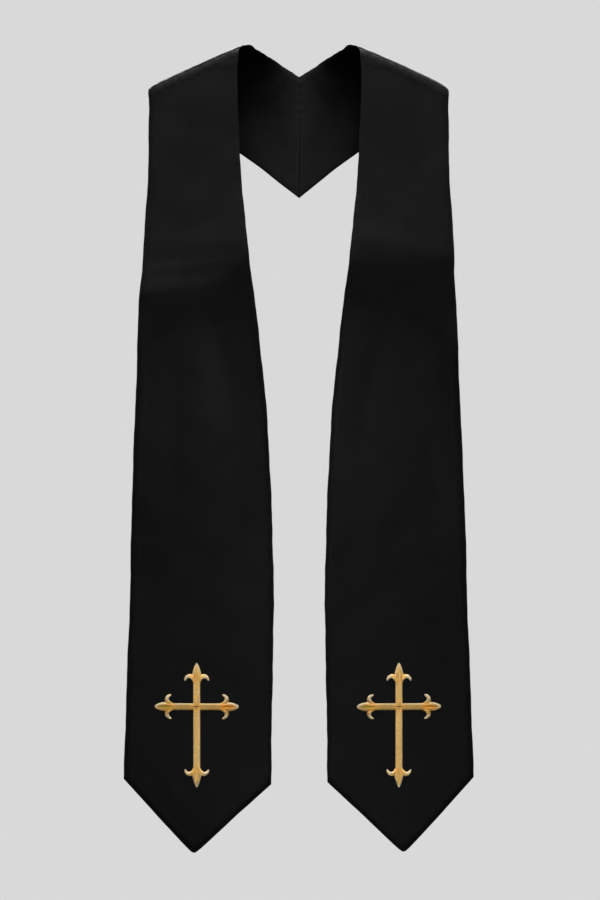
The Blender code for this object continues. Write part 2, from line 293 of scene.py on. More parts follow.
# Stitches of an arm, mm back from its tip: the first one, where the spear gives way to the
# plain arm, and where the slant sets in. A slant is a share of half the arm's width, and a
# vein's depth is a share of the padding's height. The side arms stop short of the crossing.
FIRST_STITCH = 0.6
SPEAR_ENDS = (14.0, 22.0)
SLANT_SETS_IN = (0.0, 5.0)
SPEAR_SLANT = 0.45
SPEAR_VEIN = 0.42
UPRIGHT = {
    "half_width": 3.50, "spear_edge": SPEAR_EDGE, "stop": 0.0, "vein": 0.06, "slant": 0.05,
}
BAR = {
    "half_width": 3.35, "spear_edge": SIDE_SPEAR_EDGE, "stop": 3.0, "vein": 0.16, "slant": 0.30,
}

# How high the padding lifts them, mm, and where that changes. A dome's power sets how full it
# is; the vein's width is a share of half the arm's.
TIP_CROWN = 0.50
SPEAR_CROWN = 1.45
BAR_CROWN = 1.15
CROWN_RISES = (0.0, 9.0)
CROWN_SETTLES = (12.0, 20.0)
DOME_POWER = 2.4
VEIN_WIDTH = 0.24

# Stitches of a hook, from its root to its point: its length, mm, the padding's height, and
# where that changes, as shares of the length.
HOOK_LENGTH = 17.0
HOOK_ROOT_CROWN = 0.85
HOOK_CROWN = 1.15
HOOK_CROWN_RISES = (0.0, 0.35)
HOOK_CROWN_FALLS = (0.6, 1.0)
HOOK_DOME_POWER = 0.55

# Where the threads are paler, more orange or darker, mm back from an arm's tip or shares of a
# stitch, and how much, as shares.
PALE_TIP = (0.0, 9.0)
TIP_PALENESS = 0.8
RIM_WIDTH = 0.24
ARM_RIM = 0.45
SPEAR_RIM = 0.4
KNOT_BACK = 15.5
KNOT_REACH = 5.0
KNOT_ORANGE = 0.9
CROSSING_ORANGE = 0.8
DIAMOND_HALF_LENGTH = 3.4
DIAMOND_HALF_WIDTH = 2.4
DIAMOND_DARKNESS = 0.75
VEIN_PAINT_WIDTH = 0.40
VEIN_PAINT_SETS_IN = (2.5, 5.5)
HOOK_PALE = (0.30, 0.70)
HOOK_PALENESS = 0.8
HOOK_ORANGE = (0.0, 0.45)
HOOK_ROOT_ORANGE = 0.8
# The bars' lower halves take less of the pale paint: painted shade.
LOWER_PALENESS = 0.75

# How much threads differ from one another in strength and in warmth.
STRENGTH_SPREAD = 0.07
WARMTH_SPREAD = 0.04

# Thread colours, linear.
GOLD = np.array((0.900, 0.570, 0.165))
# The bars' gold: BAR_GOLD is toned down for their upper halves, which catch the light from above, and
# SHADED_GOLD is painted shade on their lower halves.
BAR_GOLD = np.array((0.545, 0.335, 0.098))
SHADED_GOLD = np.array((0.560, 0.335, 0.065))
PALE_GOLD = np.array((0.860, 0.700, 0.460))
ORANGE_GOLD = np.array((0.920, 0.420, 0.040))
OLIVE_GOLD = np.array((0.460, 0.280, 0.025))
RUST_GOLD = np.array((0.700, 0.270, 0.014))
UPRIGHT_VEIN_GOLD = GOLD + (OLIVE_GOLD - GOLD) * 0.15

# The weave's long warp floats, mm: length, width, the gap round them, how far rows are staggered
# as a share, and their relief.
FLOAT_LENGTH = 1.9
FLOAT_WIDTH = 0.34
FLOAT_GAP = 0.07
FLOAT_STAGGER = 0.4
FLOAT_STRENGTH = 0.30
FLOAT_RELIEF = 0.04

# Noise in the cloth's tone: its scale to the metre and its detail. Yarns run along the strip.
SLOW_NOISE = (28.0, 3.0)
YARN_NOISE = (420.0, 2.0)
WEAR_AND_SHADE_NOISE = (160.0, 2.0)
YARN_STRETCH = 0.05
NOISE_SPAN = (0.3, 0.7)
WEAR_AND_SHADE_SPAN = (0.35, 0.65)

# Changes of tone, and of roughness, as shares of the middle tone and as plain differences.
SLOW_TONE = 0.045
YARN_TONE = 0.02
# The seam's change of tone is painted shade, darkening the cloth along its groove.
SEAM_PAINTED_SHADE = -0.30
SLOW_ROUGHNESS = 0.04
WORN_ROUGHNESS = -0.06

# Between which distances from an edge or the seam the wear and painted shade along the edges, the
# painted shade of the seam's groove and the pressed allowance end, and the allowance's relief, mm.
# The band along the edges holds wear on the face and painted shade on the lining.
WEAR_AND_SHADE_ENDS = (0.4, 2.6)
SEAM_SHADE_ENDS = (0.3, 1.1)
ALLOWANCE_ENDS = (7.8, 9.2)
ALLOWANCE_RELIEF = 0.05

# The studio: brightness of the backdrop and of the light all round, and a floor below the
# picture, m. A soft light has a name, a place, a target, width and height, m, power, W, and
# spread, degrees, which is under 180 where a grid is on its front.
BACKDROP = 0.694
AMBIENT = 0.008
FLOOR_HEIGHT = -1.40
FLOOR_RADIUS = 2.9
FLOOR_SIDES = 96
FLOOR_ALBEDO = 0.16
FLOOR_GLOW = 0.42
CHEST = (0.0, -0.05, -0.40)
NECK = (0.0, -0.05, -0.30)
SOFTBOXES = (
    ("key", (0.0, -1.146, 1.947), NECK, 2.4, 1.2, 62.5, 180.0),
    ("low_front", (0.0, -2.55, -0.85), (0.0, -0.05, -0.85), 1.8, 0.5, 1.1, 24.0),
    ("hem_front", (0.0, -2.55, -0.95), (0.0, -0.05, -0.95), 1.8, 0.5, 0.4, 36.0),
    ("middle_front", (0.0, -2.55, -0.55), (0.0, -0.05, -0.55), 1.8, 0.3, 0.16, 16.0),
    ("chest_front", (0.0, -2.55, -0.385), (0.0, -0.05, -0.385), 1.8, 0.3, 0.66, 14.0),
    ("top", (0.0, -0.484, 2.162), NECK, 1.8, 0.25, 67.4, 180.0),
    ("crest", (0.0, 0.639, 2.103), NECK, 1.8, 0.25, 109.0, 180.0),
    ("back_fill", (0.0, 3.2, 0.6), CHEST, 2.4, 2.0, 90.0, 180.0),
)


def smooth(share):
    """Rises from 0 to 1 with no corner at either end."""
    share = np.clip(share, 0.0, 1.0)
    return share * share * (3 - 2 * share)


def rise(value, span):
    """Rises from 0 to 1 with no corner while the value crosses the span."""
    first, last = span
    return smooth((value - first) / (last - first))


def bump(distance, reach, power=2):
    """Falls from 1 to 0 round a point; a higher power gives a flatter top."""
    return np.exp(-((distance / reach) ** power))


def blend(first, last, share):
    return first + (last - first) * share


def wave(distance, length, start=0.0):
    return np.sin(2 * math.pi * distance / length + start)


def curve_slopes(knots, values):
    """The slope at each knot of the parabola through it and its two neighbours."""
    steps = np.diff(knots)
    chords = np.diff(values) / steps
    inner = (chords[:-1] * steps[1:] + chords[1:] * steps[:-1]) / (steps[:-1] + steps[1:])
    return np.concatenate(([chords[0]], inner, [chords[-1]]))


def hermite(knots, values, slopes, along):
    """The smooth curve through the values at distances along the knots."""
    span = np.clip(np.searchsorted(knots, along, side="right") - 1, 0, len(knots) - 2)
    width = knots[span + 1] - knots[span]
    s = (along - knots[span]) / width
    start = (1 + 2 * s) * (1 - s) ** 2 * values[span]
    end = s * s * (3 - 2 * s) * values[span + 1]
    start_slope = s * (1 - s) ** 2 * width * slopes[span]
    end_slope = s * s * (s - 1) * width * slopes[span + 1]
    return start + end + start_slope + end_slope


def unit(vectors):
    return vectors / np.linalg.norm(vectors, axis=-1, keepdims=True)


class Strip:
    """The wearer's side of one strip, at distances along it and shares across it, in mm."""

    def __init__(self):
        table = np.array(STATIONS)
        self.fields = dict(zip(STATION_FIELDS, table.T))
        middles = (table[:, 0:3] + table[:, 3:6]) / 2
        steps = np.linalg.norm(np.diff(middles, axis=0), axis=1)
        self.knots = np.concatenate(([0.0], np.cumsum(steps)))
        self.slopes = {
            name: curve_slopes(self.knots, values) for name, values in self.fields.items()
        }
        level_from = self.knots[LEVEL_FROM_ROW]
        self.level_alongs = np.linspace(level_from, self.knots[-1], LEVEL_SAMPLES)
        self.level_heights = self.value("neck_z", self.level_alongs)

    def value(self, name, along):
        return hermite(self.knots, self.fields[name], self.slopes[name], along)

    def edge(self, name, along):
        return np.stack([self.value(f"{name}_{axis}", along) for axis in "xyz"], axis=-1)

    def width(self, along):
        return np.linalg.norm(self.edge("arm", along) - self.edge("neck", along), axis=-1)

    def chord_point(self, along, across):
        return blend(self.edge("neck", along), self.edge("arm", along), across[..., None])

    def chord_normal(self, along):
        middle = np.full_like(along, 0.5)
        before = self.chord_point(np.maximum(along - CHORD_STEP, 0.0), middle)
        after = self.chord_point(along + CHORD_STEP, middle)
        across = self.edge("arm", along) - self.edge("neck", along)
        return unit(np.cross(after - before, across))

    def point(self, along, across):
        bow = self.value("bow", along) * 4 * across * (1 - across)
        past = np.maximum(0.0, (across - DROOP_FROM) / (1 - DROOP_FROM))
        place = self.chord_point(along, across) + bow[..., None] * self.chord_normal(along)
        place[..., 2] -= self.value("droop", along) * past * past
        return place

    def normal(self, along, across):
        first = np.maximum(along - NORMAL_STEP, 0.0)
        lengthways = self.point(along + NORMAL_STEP, across) - self.point(first, across)
        nearer = self.point(along, across - SHARE_STEP)
        crossways = self.point(along, across + SHARE_STEP) - nearer
        out = np.cross(lengthways, crossways)
        out[..., 0] *= smooth(along / SEAM_SQUARING)
        return unit(out)

    def along_at_height(self, height):
        """The distance along the strip of a height where its sections are level."""
        return np.interp(-height, -self.level_heights, self.level_alongs)

    def across_at(self, along, x):
        neck = self.value("neck_x", along)
        return (x - neck) / (self.value("arm_x", along) - neck)


STRIP = Strip()


def waves(table, distance):
    return sum(height * wave(distance, length, start) for height, length, start in table)


def sway(distance, swing, start=0.0):
    size, length = swing
    return size * np.sin(distance / length + start)


def uneven(distance, swing, start=0.0):
    """A share that swings between 1 and less."""
    return 1 - swing[0] + sway(distance, swing, start)


def turned(along, out, angle):
    """The distance in a direction that lies at this angle off the strip's length, degrees."""
    turn = math.radians(angle)
    return along * math.cos(turn) + out * math.sin(turn)


def held_back(along, line, rounding):
    """The distance along, held at the line once it's past it, with a rounded corner."""
    return (along + line - np.hypot(along - line, 2 * rounding)) / 2


def moved_break(along, out, side):
    """The lift that moves the chest's break from its plain line to its creased one, mm."""
    line = LEFT_BREAK if side > 0 else RIGHT_BREAK
    creased = hermite(BREAK_OUTS, line, curve_slopes(BREAK_OUTS, line), out)
    lift = held_back(along, creased, BREAK_ROUNDING)
    lift -= held_back(along, PLAIN_BREAK, PLAIN_BREAK_ROUNDING)
    past = np.maximum(0.0, along - np.maximum(creased, PLAIN_BREAK))
    return BREAK_STEEPNESS * lift * bump(past, BREAK_FADE)


def slow_waves(along, out, side):
    lift = np.zeros_like(along)
    for height, length, angle, start, shift in UNDULATION:
        phase = start + (shift if side < 0 else 0.0)
        lift += height * wave(turned(along, out, angle), length, phase)
    on_chest = rise(along, CALM_SETS_IN) * (1 - rise(along, CALM_FADES))
    return lift * (1 - CHEST_CALM * on_chest)


def hand_creases(along, out, side):
    lift = np.zeros_like(along)
    for crease in LEFT_CREASES if side > 0 else RIGHT_CREASES:
        row = dict(zip(CREASE_FIELDS, crease))
        ahead = along - row["along"]
        aside = out - row["out"]
        run = turned(ahead, aside, row["angle"])
        off = turned(aside, -ahead, row["angle"]) - row["bend"] * run * run
        lift += row["height"] * bump(off, row["width"]) * bump(run, row["reach"], 4)
    return lift


def shoulder_wrinkles(along, out):
    middle, reach = SHOULDER_WRINKLES_AT
    lift = np.zeros_like(along)
    for height, length, angle, start in SHOULDER_WRINKLES:
        phase = start + sway(out, WRINKLE_SWAY)
        lift += height * wave(turned(along, out, angle), length, phase)
    return lift * bump(along - middle, reach, 4)


def gathers(along, across, side):
    """Small gathers at the centre-back seam, along both edges and at the hem, mm."""
    width = STRIP.width(along)
    out = across * width
    height, length, fade = SEAM_PUCKER
    lift = height * uneven(out, SEAM_UNEVENNESS) * np.exp(-along / fade)
    lift *= wave(out, length)
    height, length, fade = EDGE_PUCKER
    for distance, start in ((out, 0.0), (width - out, ARM_EDGE_START)):
        swell = wave(along, length, sway(along, EDGE_SWAY, start))
        swell *= uneven(along, EDGE_UNEVENNESS, start)
        lift += height * swell * np.exp(-np.maximum(distance, 0.0) / fade)
    height, length, fade = HEM_PUCKER
    distance = (STRIP.along_at_height(hem_height(across, side)) - along) * HEM_COSINE
    swell = wave(out, length, sway(out, HEM_SWAY))
    return lift + height * swell * np.exp(-np.maximum(distance, 0.0) / fade)


def displacement(along, across, side):
    """How far waves, creases and gathers lift the cloth off its plain form, mm."""
    out = across * STRIP.width(along)
    lift = slow_waves(along, out, side)
    lift += hand_creases(along, out, side)
    lift += moved_break(along, out, side)
    cross_along = STRIP.along_at_height(CROSS_HEIGHT + CROSS_MIDDLE)
    cross_out = CROSS_X - STRIP.value("neck_x", cross_along)
    away = np.hypot(along - cross_along, out - cross_out)
    lift *= 1 - EMBROIDERY_DAMPING * bump(away, EMBROIDERY_SPREAD, 4)
    lift *= smooth(along / SEAM_FLATNESS)
    return lift + shoulder_wrinkles(along, out) + gathers(along, across, side)


def hem_height(across, side):
    """The pointed hem, with its tip turned over a small radius."""
    hem = dict(zip(HEM_FIELDS, LEFT_HEM if side > 0 else RIGHT_HEM))
    tip = hem["tip"]
    offset = (across - hem["tip_across"]) * HEM_WIDTH
    neck_slope = (hem["neck_corner"] - tip) / (hem["tip_across"] * HEM_WIDTH)
    arm_slope = (hem["arm_corner"] - tip) / ((1 - hem["tip_across"]) * HEM_WIDTH)
    even = (neck_slope + arm_slope) / 2 * np.sqrt(offset ** 2 + TIP_RADIUS ** 2)
    return tip + even + (arm_slope - neck_slope) / 2 * offset


def cloth_grid(insets, seam_shift, side):
    """Distances along and shares across of places on the strip, in rows and columns.

    The outer rows and columns lie at the insets from its edges, and closer by the shift at
    the centre-back seam.
    """
    insets = np.array(insets)
    last = insets[-1]
    chevron_start = STRIP.along_at_height(CHEVRON_START_HEIGHT)
    count = round((chevron_start - last) / ROW_STEP)
    upper_rows = last + (chevron_start - last) * np.arange(1, count) / count
    seam_rows = np.concatenate((insets - seam_shift, upper_rows))
    columns = len(insets) * 2 + MIDDLE_COLUMNS
    middle = np.arange(1, MIDDLE_COLUMNS + 1) / (MIDDLE_COLUMNS + 1)
    across = np.concatenate((np.zeros(len(insets)), middle, np.ones(len(insets))))
    across = np.tile(across, (len(seam_rows) + HEM_ROWS + len(insets), 1))
    start = np.full(columns, SEAM_STEP)
    for _ in range(GRID_PASSES):
        ahead = STRIP.point(start + SEAM_STEP, across[0])
        behind = STRIP.point(start - SEAM_STEP, across[0])
        speed = np.linalg.norm(ahead - behind, axis=-1) / (2 * SEAM_STEP)
        near_seam = 1 - smooth(seam_rows[:, None] / SEAM_BLEND)
        upper = seam_rows[:, None] * (1 + (1 / speed - 1) * near_seam)
        hem = STRIP.along_at_height(hem_height(across[-1], side))
        hem += waves(ARM_WANDER, across[-1] * HEM_WIDTH)
        share = np.arange(HEM_ROWS)[:, None] / HEM_ROWS
        lower = blend(chevron_start, hem - last / HEM_COSINE, share)
        hem_rows = hem - insets[::-1, None] / HEM_COSINE
        along = np.concatenate((upper, lower, hem_rows))
        width = STRIP.width(along)
        neck_share = insets / width[:, : len(insets)]
        arm_share = 1 - insets[::-1] / width[:, -len(insets):]
        inner_share = last / width[:, len(insets): -len(insets)]
        middle_share = inner_share + middle * (1 - 2 * inner_share)
        across = np.concatenate((neck_share, middle_share, arm_share), axis=1)
    return along, across


def wander(along, across, side):
    """The cloth's edges wander a little in its plane, and one band is a little wider."""
    width = STRIP.width(along)
    neck_fade = np.exp(-across * width / WANDER_FADE)
    arm_fade = np.exp(-(1 - across) * width / WANDER_FADE)
    neck_growth, arm_growth = LEFT_GROWTH if side > 0 else RIGHT_GROWTH
    shift = (waves(NECK_WANDER, along) - neck_growth) * neck_fade
    shift += (waves(ARM_WANDER, along) + arm_growth) * arm_fade
    return across + shift * smooth(along / WANDER_FROM_SEAM) / width


def seam_drift(along, across, side):
    """How far the centre-back seam wanders off the middle, mm, on the strip's own axis."""
    bend = np.sin(math.pi * np.sqrt(np.clip(across, 0.0, 1.0)))
    return side * SEAM_DRIFT * bend * bump(along, SEAM_DRIFT_FADE)


def layer_points(insets, seam_shift, edge_shares, low, high, side):
    """Points of one surface that stands at low on its rim and at high away from the edges.

    With each point go its place on the flat cloth and its distance from the nearest edge.
    """
    along, across = cloth_grid(insets, seam_shift, side)
    inside = np.ones(along.shape)
    count = len(edge_shares)
    shares = np.array(edge_shares)
    inside[:count] *= shares[:, None]
    inside[-count:] *= shares[::-1, None]
    inside[:, :count] *= shares
    inside[:, -count:] *= shares[::-1]
    across = wander(along, across, side)
    height = blend(low, high, inside) + displacement(along, across, side)
    points = STRIP.point(along, across) + height[..., None] * STRIP.normal(along, across)
    points[..., 0] += seam_drift(along, across, side)
    width = STRIP.width(along)
    hem = STRIP.along_at_height(hem_height(across, side))
    sides = np.minimum(across, 1 - across) * width
    edge = np.minimum(sides, (hem - along) * HEM_COSINE)
    return points, np.stack((across * width, along, edge), axis=-1)


def face_profile():
    """The turned edge of the face: insets and rise shares of its visible and hidden surfaces."""
    visible = [(inset, TURN_HEIGHT - TURN_RADIUS) for inset in TAIL_INSETS]
    hidden = [(inset, TURN_HEIGHT - TURN_RADIUS + FACE_CLOTH) for inset in TAIL_INSETS]
    for angle in TURN_ANGLES:
        turn = math.radians(angle)
        for profile, radius in ((visible, TURN_RADIUS), (hidden, TURN_RADIUS - FACE_CLOTH)):
            inset = TURN_RADIUS - radius * math.cos(turn)
            profile.append((inset, TURN_HEIGHT + radius * math.sin(turn)))
    for inset in RISE_INSETS:
        share = float(smooth((inset - TURN_RADIUS) / RISE_WIDTH))
        height = blend(TURN_HEIGHT + TURN_RADIUS, FULL_HEIGHT, share)
        visible.append((inset, height))
        hidden.append((inset, height - FACE_CLOTH))
    return visible, hidden


def surface(profile, seam_shift, high, side):
    insets = [inset for inset, _ in profile]
    low = profile[0][1]
    shares = [(height - low) / (high - low) for _, height in profile]
    return layer_points(insets, seam_shift, shares, low, high, side)


def grid_faces(rows, columns, start, flipped):
    """Quads of a grid whose first point has this number; flipped ones face the other way."""
    numbers = start + np.arange(rows * columns).reshape(rows, columns)
    corners = (numbers[:-1, :-1], numbers[1:, :-1], numbers[1:, 1:], numbers[:-1, 1:])
    faces = np.stack(corners, axis=-1).reshape(-1, 4)
    return faces[:, ::-1] if flipped else faces


def rim_numbers(rows, columns):
    """The grid's outer points in order, round it once."""
    numbers = np.arange(rows * columns).reshape(rows, columns)
    return np.concatenate(
        (numbers[0, :-1], numbers[:-1, -1], numbers[-1, :0:-1], numbers[:0:-1, 0])
    )


def linked_object(name, data):
    thing = bpy.data.objects.new(name, data)
    bpy.context.scene.collection.objects.link(thing)
    return thing


def new_object(name, points, faces, side, material):
    """A mesh object in metres; side is 1 for the wearer's left and -1 for its mirror image."""
    placed = points * MM
    if side < 0:
        placed = placed * np.array((-1.0, 1.0, 1.0))
        faces = [face[::-1] for face in faces]
    mesh = bpy.data.meshes.new(name)
    mesh.from_pydata(placed.tolist(), [], [list(map(int, face)) for face in faces])
    mesh.materials.append(material)
    mesh.shade_smooth()
    return linked_object(name, mesh)


def add_flat_coordinates(mesh, flat):
    """A UV map in metres of flat cloth, across the strip and along it, and edge distances."""
    layer = mesh.uv_layers.new(name="flat_cloth")
    corners = np.empty(len(mesh.loops), np.int32)
    mesh.loops.foreach_get("vertex_index", corners)
    layer.data.foreach_set("uv", (flat[corners, :2] * MM).astype(np.float32).ravel())
    edge = mesh.attributes.new("edge_distance", "FLOAT", "POINT")
    edge.data.foreach_set("value", (flat[:, 2] * MM).astype(np.float32))


def cloth_piece(name, visible, hidden, faces_out, side, material):
    """A closed thin shell between a visible and a hidden surface."""
    rows, columns = visible[0].shape[:2]
    total = rows * columns
    points = np.concatenate((visible[0].reshape(-1, 3), hidden[0].reshape(-1, 3)))
    flat = np.concatenate((visible[1].reshape(-1, 3), hidden[1].reshape(-1, 3)))
    rim = rim_numbers(rows, columns)
    after = np.roll(rim, -1)
    wall = np.stack((rim, after, after + total, rim + total), axis=-1)
    if not faces_out:
        wall = wall[:, ::-1]
    faces = np.concatenate((
        grid_faces(rows, columns, 0, not faces_out),
        grid_faces(rows, columns, total, faces_out),
        wall,
    ))
    thing = new_object(name, points, faces, side, material)
    add_flat_coordinates(thing.data, flat)
    return thing


def build_face(name, side, material):
    visible, hidden = face_profile()
    outer = surface(visible, 0.0, FULL_HEIGHT, side)
    inner = surface(hidden, 0.0, FULL_HEIGHT - FACE_CLOTH, side)
    return cloth_piece(name, outer, inner, True, side, material)


def build_lining(name, side, material):
    visible = list(zip(LINING_INSETS, LINING_HEIGHTS))
    hidden = [(inset, height + LINING_CLOTH) for inset, height in visible]
    outer = surface(visible, LINING_SEAM_SHIFT, 0.0, side)
    inner = surface(hidden, LINING_SEAM_SHIFT, LINING_CLOTH, side)
    return cloth_piece(name, outer, inner, False, side, material)


def on_panel(x, y, height, side):
    """Points of the cross's plane, laid on the face cloth and raised off it."""
    along = STRIP.along_at_height(CROSS_HEIGHT + y)
    across = STRIP.across_at(along, CROSS_X - CROSS_SHIFT * side + x)
    offset = FULL_HEIGHT + height + displacement(along, across, side)
    return STRIP.point(along, across) + offset[..., None] * STRIP.normal(along, across)


def resampled(corners, shares):
    """Points at shares of the length of a smooth curve through the corners."""
    corners = np.array(corners)
    steps = np.linalg.norm(np.diff(corners, axis=0), axis=1)
    knots = np.concatenate(([0.0], np.cumsum(steps)))
    along = np.asarray(shares) * knots[-1]
    return np.stack(
        [hermite(knots, column, curve_slopes(knots, column), along) for column in corners.T],
        axis=-1,
    )


def spear_half_width(back, half_width, spear_edge):
    """Half the width of an arm at distances back from its tip."""
    edge = np.array(spear_edge)
    spear = np.interp(back, edge[:, 1], edge[:, 0])
    widest, shoulder = spear_edge[-1]
    neck = blend(widest, half_width, rise(back, (shoulder, SPEAR_NECK)))
    return np.where(back < shoulder, spear, neck)


def arm_tones(shares, across, back, length, in_spear):
    """How much of each paint the points of an arm's stitches take, from 0 to 1."""
    rim = bump(shares, RIM_WIDTH) * (ARM_RIM + SPEAR_RIM * in_spear)
    pale = TIP_PALENESS * (1 - rise(back, PALE_TIP)) + rim
    orange = KNOT_ORANGE * bump(back - KNOT_BACK, KNOT_REACH)
    orange = orange + CROSSING_ORANGE * bump(length - back, KNOT_REACH)
    in_vein = in_spear * bump(1 - shares, VEIN_PAINT_WIDTH, 4) * rise(back, VEIN_PAINT_SETS_IN)
    diamond = (length - back) / DIAMOND_HALF_LENGTH + across / DIAMOND_HALF_WIDTH
    return {
        "pale": np.clip(pale, 0.0, 1.0),
        "orange": np.clip(orange, 0.0, 1.0),
        "vein": in_vein,
        "centre": DIAMOND_DARKNESS * bump(diamond, 1.0, 4),
        "rim": rim,
    }


def arm_stitches(length, half_width, spear_edge, stop, vein, slant):
    """Stitches of one arm, in its own axes: to the side, and back from the tip.

    Each half of the arm has its own threads, laid from its edge to the vein in the middle.
    """
    shares = np.array(STITCH_SHARES)
    count = int((length - stop - FIRST_STITCH) / STITCH_PITCH)
    back_at_vein = FIRST_STITCH + STITCH_PITCH * np.arange(count)[:, None]
    half = spear_half_width(back_at_vein, half_width, spear_edge)
    in_spear = 1 - rise(back_at_vein, SPEAR_ENDS)
    lean = blend(slant, SPEAR_SLANT, in_spear)
    back = back_at_vein + lean * half * (1 - shares) * rise(back_at_vein, SLANT_SETS_IN)
    across = spear_half_width(back, half_width, spear_edge) * (1 - shares)
    crown = blend(TIP_CROWN, SPEAR_CROWN, rise(back_at_vein, CROWN_RISES))
    crown = crown + (BAR_CROWN - SPEAR_CROWN) * rise(back_at_vein, CROWN_SETTLES)
    dome = np.sqrt(np.maximum(1 - (1 - shares) ** DOME_POWER, 0.0))
    depth = blend(vein, SPEAR_VEIN, in_spear)
    height = crown * dome * (1 - depth * bump(1 - shares, VEIN_WIDTH))
    return across, back, height, arm_tones(shares, across, back, length, in_spear)


def hook_stitches():
    """Stitches of one hook of an arm's end, laid from its outer edge to its inner edge."""
    shares = np.array(STITCH_SHARES)
    count = int(HOOK_LENGTH / STITCH_PITCH)
    places = (np.arange(count) + 0.5) / count
    outer = resampled(HOOK_OUTER_EDGE, places)[:, None, :]
    inner = resampled(HOOK_INNER_EDGE, places)[:, None, :]
    line = blend(outer, inner, shares[:, None])
    crown = blend(HOOK_ROOT_CROWN, HOOK_CROWN, rise(places, HOOK_CROWN_RISES))
    crown = crown + (TIP_CROWN - HOOK_CROWN) * rise(places, HOOK_CROWN_FALLS)
    dome = np.maximum(1 - (2 * shares - 1) ** 2, 0.0) ** HOOK_DOME_POWER
    height = crown[:, None] * dome
    outward = np.repeat(places[:, None], len(STITCH_SHARES), axis=1)
    tone = {name: np.zeros_like(height) for name in ("vein", "centre", "rim")}
    tone["pale"] = HOOK_PALENESS * rise(outward, HOOK_PALE)
    tone["orange"] = HOOK_ROOT_ORANGE * (1 - rise(outward, HOOK_ORANGE))
    return line[..., 0], line[..., 1], height, tone


def thread_colours(tone, ground, lower, vein_paint, chance):
    """Linear colours along each thread, a little different from thread to thread.

    A lower half takes painted shade, a shaded ground and less of the pale paint, and has an orange
    edge in place of a pale one.
    """
    colour = np.broadcast_to(ground, tone["pale"].shape + (3,))
    coats = {
        "orange": ORANGE_GOLD, "pale": PALE_GOLD, "vein": vein_paint, "centre": OLIVE_GOLD,
    }
    for name, paint in coats.items():
        share = tone[name][..., None]
        if lower and name == "pale":
            colour = blend(colour, paint, share * LOWER_PALENESS)
            colour = blend(colour, ORANGE_GOLD, tone["rim"][..., None])
        else:
            colour = blend(colour, paint, share)
    count = len(colour)
    strength = 1 + STRENGTH_SPREAD * chance.standard_normal((count, 1, 1))
    warmth = WARMTH_SPREAD * chance.standard_normal((count, 1))
    tint = np.stack((1 + warmth, np.ones_like(warmth), 1 - 2 * warmth), axis=-1)
    return np.clip(colour * strength * tint, 0.0, 1.0)


def cross_stitches(side, chance):
    """All stitches of a cross in its own plane: x, y, height and colour along each thread."""
    arms = (
        ((0.0, 1.0), UPPER_ARM, UPRIGHT, 0.0, UPRIGHT_VEIN_GOLD),
        ((0.0, -1.0), LOWER_ARM, UPRIGHT, 0.0, UPRIGHT_VEIN_GOLD),
        ((float(side), 0.0), SIDE_ARM, BAR, SIDE_HOOK_SHIFT, RUST_GOLD),
        ((-float(side), 0.0), SIDE_ARM, BAR, SIDE_HOOK_SHIFT, OLIVE_GOLD),
    )
    found = {"x": [], "y": [], "height": [], "colour": []}
    for (ahead_x, ahead_y), length, form, hook_shift, vein_paint in arms:
        parts = ((arm_stitches(length, **form), 0.0), (hook_stitches(), hook_shift))
        for (aside, back, height, tone), shift in parts:
            for hand in (1.0, -1.0):
                reach = length - back - shift
                found["x"].append(ahead_x * reach + hand * ahead_y * aside)
                found["y"].append(ahead_y * reach - hand * ahead_x * aside)
                found["height"].append(height)
                # A bar's lower half gets painted shade: the shaded gold, less pale paint and an
                # orange edge.
                lower = ahead_x * hand > 0
                ground = SHADED_GOLD if lower else (BAR_GOLD if ahead_x else GOLD)
                colours = thread_colours(tone, ground, lower, vein_paint, chance)
                found["colour"].append(colours)
    return {name: np.concatenate(parts) for name, parts in found.items()}


def build_cross(name, side, material):
    """The raised embroidery: every thread is a closed, slightly flattened tube."""
    chance = np.random.default_rng(LEFT_SEED if side > 0 else RIGHT_SEED)
    stitches = cross_stitches(side, chance)
    x, y = stitches["x"], stitches["y"]
    height = stitches["height"] + THREAD_UNEVENNESS * chance.standard_normal((len(x), 1))
    line = on_panel(x, y, height, side)
    ahead = unit(np.gradient(line, axis=1))
    along = STRIP.along_at_height(CROSS_HEIGHT + y)
    out = STRIP.normal(along, STRIP.across_at(along, CROSS_X + x))
    aside = unit(np.cross(ahead, out))
    up = np.cross(aside, ahead)
    turns = 2 * math.pi * np.arange(THREAD_SIDES)[:, None] / THREAD_SIDES
    rings = line[:, :, None] + THREAD_HALF_WIDTH * np.cos(turns) * aside[:, :, None]
    rings += THREAD_HALF_THICKNESS * np.sin(turns) * up[:, :, None]
    count = line.shape[:2] + (THREAD_SIDES,)
    numbers = np.arange(math.prod(count)).reshape(count)
    after = np.roll(numbers, -1, axis=2)
    walls = np.stack(
        (numbers[:, :-1], numbers[:, 1:], after[:, 1:], after[:, :-1]), axis=-1
    ).reshape(-1, 4)
    faces = walls.tolist() + numbers[:, 0].tolist() + numbers[:, -1, ::-1].tolist()
    thing = new_object(name, rings.reshape(-1, 3), faces, side, material)
    colours = np.ones(count + (4,), np.float32)
    colours[..., :3] = stitches["colour"][:, :, None]
    layer = thing.data.color_attributes.new("thread_colour", "FLOAT_COLOR", "POINT")
    layer.data.foreach_set("color", colours.ravel())
    return thing


def new_material(name):
    material = bpy.data.materials.new(name)
    material.use_nodes = True
    return material, material.node_tree.nodes, material.node_tree.links


def grey(tone):
    return (tone, tone, tone, 1.0)


def set_inputs(node, values):
    for name, value in values.items():
        node.inputs[name].default_value = value


def new_node(nodes, kind, values):
    node = nodes.new(kind)
    set_inputs(node, values)
    return node


def noise(nodes, links, vector, kind):
    """A noise texture's value at the vector."""
    scale, detail = kind
    texture = new_node(nodes, "ShaderNodeTexNoise", {"Scale": scale, "Detail": detail})
    links.new(vector, texture.inputs["Vector"])
    return texture.outputs["Fac"]


